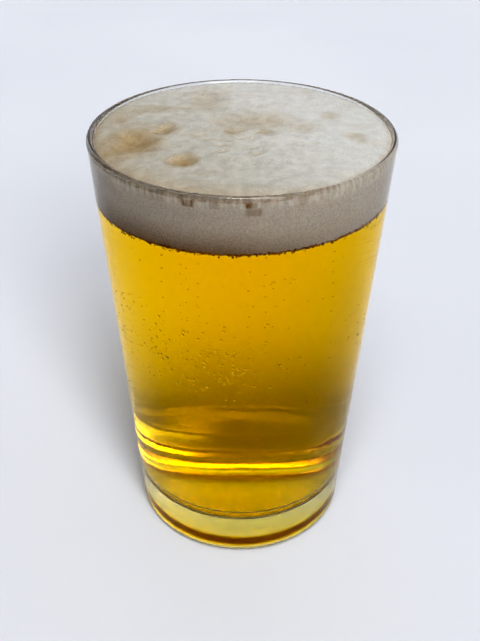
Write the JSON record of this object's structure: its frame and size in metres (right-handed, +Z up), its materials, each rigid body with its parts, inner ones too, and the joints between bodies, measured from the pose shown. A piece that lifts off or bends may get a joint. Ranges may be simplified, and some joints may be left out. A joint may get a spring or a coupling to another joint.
{
  "type": "pint of beer",
  "caption": "Straight-sided, thick-based clear glass tumbler, tapering to its foot, filled with golden lager under a domed head of off-white foam.",
  "frame": {"origin": "centre of the foot, on the table", "axes": "+Z up along the glass, -Y towards the viewer of the picture, +X to the viewer's right"},
  "size_m": [0.0898, 0.0898, 0.1388],
  "materials": {
    "glass": "clear polished soda-lime glass",
    "beer": "clear golden lager",
    "foam": "fine, dense off-white beer foam"
  },
  "bodies": {
    "root": {"glass": "glass", "beer": "beer", "foam": "foam"}
  },
  "joints": []
}
